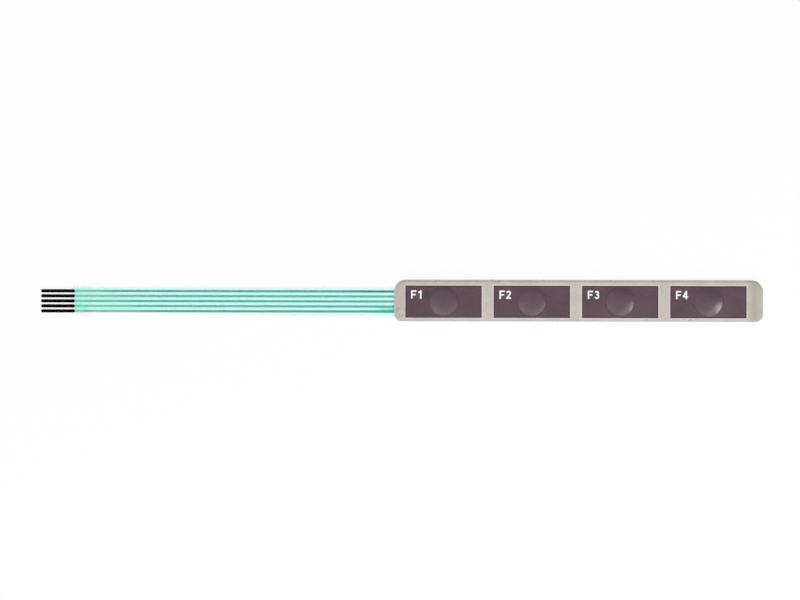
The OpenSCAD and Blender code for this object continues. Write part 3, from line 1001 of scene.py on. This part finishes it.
def build_finger(k, carbon):
    """Carbon over the end of one conductor, with rounded ends and an uneven edge."""
    low, high = [Vector(corner) for corner in finger_boxes[k - 1]]
    low.y -= FINGER_SPREAD
    high.y += FINGER_SPREAD
    left, right = low.x + FINGER_CORNER, high.x - FINGER_CORNER
    bottom, top = low.y + FINGER_CORNER, high.y - FINGER_CORNER
    corners = [
        (right, bottom, FINGER_CORNER, -90),
        (right, top, FINGER_CORNER, 0),
        (left, top, FINGER_CORNER, 90),
        (left, bottom, FINGER_CORNER, 180),
    ]
    outline = rounded_outline(corners, FINGER_CORNER_STEPS, FINGER_STEP)
    middle_y = (low.y + high.y) / 2
    spine = [Vector((min(max(p.x, left), right), middle_y)) for p in outline]
    outline = wobbled(outline, spine, FINGER_WOBBLE, FINGER_WOBBLE_LENGTH)
    drawn_in = [p + (s - p).normalized() * FINGER_RIM for p, s in zip(outline, spine)]
    shoulder_z = low.z + FINGER_SHOULDER * (high.z - low.z)
    shape = bmesh.new()
    levels = ((outline, low.z), (outline, shoulder_z), (drawn_in, high.z))
    foot, shoulder, rim = [[shape.verts.new((p.x, p.y, z)) for p in points] for points, z in levels]
    shape.faces.new(list(reversed(foot)))
    shape.faces.new(rim)
    join_loops(shape.faces.new, foot, shoulder)
    join_loops(shape.faces.new, shoulder, rim)
    piece = piece_from(f"carbon_{k}", shape, [carbon])
    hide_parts(f"contact_finger_{k}")


# Solids that show as they are

def dress(node_name, material):
    """Give a solid of the frame its finished material."""
    mesh = nodes[node_name].data
    mesh.materials.clear()
    mesh.materials.append(material)


def dress_layers():
    """Materials of the layers, the circuit, the snap domes and the liner."""
    milky = layer_material("milky_film", MILKY_FILMS, rough_low=0.3, rough_high=0.5)
    adhesive = layer_material("adhesive", ADHESIVES, rough_low=0.35, rough_high=0.55)
    steel = spring_steel_material()
    silver = silver_print_material("silver_print", SILVER_AT_STRIP)
    silver_first = silver_print_material("silver_print_first", SILVER_AT_STRIP_FIRST)
    for name in ("dome_retainer", "dome_spacer"):
        dress(name, milky)
    for name in ("overlay_adhesive", "circuit_adhesive", "rear_adhesive"):
        dress(name, adhesive)
    for i in KEYS:
        dress(f"snap_dome_{i}", steel)
        dress(f"key_line_{i}", silver)
    dress("common_line", silver)
    # The last key's conductor is the first line of the tail
    dress(f"key_line_{KEYS[-1]}", silver_first)
    dress("insulating_coat", green_coat_material())
    dress("circuit_film", circuit_film_material())
    dress("tail_stiffener", stiffener_film_material())
    dress("release_liner", liner_paper_material())


# Stage

def white_seen(tree, lit, white_kind, seen_share, mirrored_share):
    """Mix a lit shader with plain white wherever the camera, a reflection or a clear film looks at it."""
    rays = tree.nodes.new("ShaderNodeLightPath").outputs
    mirrored = math_node(tree, "MULTIPLY", rays["Is Glossy Ray"], mirrored_share)
    seen = math_node(tree, "MAXIMUM", rays["Is Camera Ray"], mirrored)
    seen = math_node(tree, "MAXIMUM", seen, rays["Is Transmission Ray"])
    white = tree.nodes.new(white_kind)
    white.inputs["Color"].default_value = WHITE
    white.inputs["Strength"].default_value = 1.0
    mix = tree.nodes.new("ShaderNodeMixShader")
    tree.links.new(math_node(tree, "MULTIPLY", seen, seen_share), mix.inputs[0])
    tree.links.new(lit, mix.inputs[1])
    tree.links.new(white.outputs[0], mix.inputs[2])
    return mix.outputs[0]


def build_floor():
    """Wide pale floor, just under the part."""
    depth = cad_box[0][2] - FLOOR_GAP
    corners = [(x * FLOOR_HALF, y * FLOOR_HALF, depth) for x, y in ((-1, -1), (1, -1), (1, 1), (-1, 1))]
    mesh = bpy.data.meshes.new("floor")
    mesh.from_pydata(corners, [], [(0, 1, 2, 3)])
    floor = bpy.data.objects.new("floor", mesh)
    bpy.context.scene.collection.objects.link(floor)
    material, tree, shader, _ = new_material("floor_white")
    shader.inputs["Base Color"].default_value = FLOOR_COLOUR
    shader.inputs["Roughness"].default_value = 1.0
    shader.inputs["Specular IOR Level"].default_value = 0.0
    lit = shader.outputs["BSDF"]
    seen = white_seen(tree, lit, "ShaderNodeEmission", seen_share=FLOOR_WHITE_SHARE, mirrored_share=1.0)
    tree.links.new(seen, tree.nodes["Material Output"].inputs["Surface"])
    mesh.materials.append(material)


def light_room():
    """Even room light, which gloss sees as white in front and dimmer at the back."""
    world = bpy.data.worlds.new("studio")
    world.use_nodes = True
    bpy.context.scene.world = world
    tree = world.node_tree
    room = tree.nodes["Background"]
    room.inputs["Color"].default_value = WHITE
    room.inputs["Strength"].default_value = ROOM_STRENGTH
    direction = tree.nodes.new("ShaderNodeTexCoord").outputs["Generated"]
    at_back = ramp_between(tree, dot_product(tree, direction, BACK_DIRECTION), *BACK_LEVELS)
    mirrored_share = math_node(tree, "SUBTRACT", 1.0, math_node(tree, "MULTIPLY", at_back, BACK_DIMMING))
    lit = room.outputs["Background"]
    seen = white_seen(tree, lit, "ShaderNodeBackground", seen_share=1.0, mirrored_share=mirrored_share)
    tree.links.new(seen, tree.nodes["World Output"].inputs["Surface"])


def add_lamp(name, place, target_x, width, height, watts, mirrored=True):
    """Soft rectangular lamp that faces a point on the X axis, and that gloss mirrors or not."""
    lamp = bpy.data.lights.new(name, "AREA")
    lamp.shape = "RECTANGLE"
    lamp.size = width
    lamp.size_y = height
    lamp.energy = watts
    holder = bpy.data.objects.new(name, lamp)
    holder.location = place
    holder.visible_glossy = mirrored
    beam = Vector((target_x, 0.0, 0.0)) - Vector(place)
    holder.rotation_euler = beam.to_track_quat("-Z", "Y").to_euler()
    bpy.context.scene.collection.objects.link(holder)


def add_lamps():
    """A broad lamp in front, and small ones that the domes and the lower edge mirror."""
    add_lamp("front", FRONT_PLACE, target_x=-0.05, width=0.9, height=0.4, watts=8.6, mirrored=False)
    add_lamp("lower_edge", (-0.06, -0.22, LAMP_LEVEL), target_x=-0.03, width=0.5, height=0.14, watts=0.24)
    add_lamp("lower_right", (0.315, -0.11, LAMP_LEVEL), target_x=0.03, width=0.14, height=0.14, watts=0.74)
    add_lamp("lower_middle", (0.15, -0.17, LAMP_LEVEL), target_x=0.01, width=0.22, height=0.1, watts=0.1)
    add_lamp("lower_left", (-0.14, -0.1, LAMP_LEVEL), target_x=-0.03, width=0.1, height=0.08, watts=0.045)


def place_camera():
    """Camera straight above the middle of the photograph, turned as the photograph is."""
    camera = bpy.data.cameras.new("camera")
    camera.lens = LENS_MM
    camera.sensor_width = SENSOR_MM
    camera.clip_start = CAMERA_CLIP_START
    seen_width = PHOTO_WIDTH_PX / PHOTO_PX_PER_M
    holder = bpy.data.objects.new("camera", camera)
    holder.location = (PHOTO_CENTRE_X, PHOTO_CENTRE_Y, FACE_Z + seen_width * LENS_MM / SENSOR_MM)
    holder.rotation_euler = (0.0, 0.0, PHOTO_TURN)
    bpy.context.scene.collection.objects.link(holder)
    bpy.context.scene.camera = holder


bpy.context.scene.view_settings.view_transform = "Standard"
place_camera()
light_room()
add_lamps()
build_floor()
dress_layers()
build_face_film()
legend_ink = legend_material()
for key in KEYS:
    build_legend(key, legend_ink)
carbon_ink = carbon_print_material()
for line in LINES:
    build_finger(line, carbon_ink)
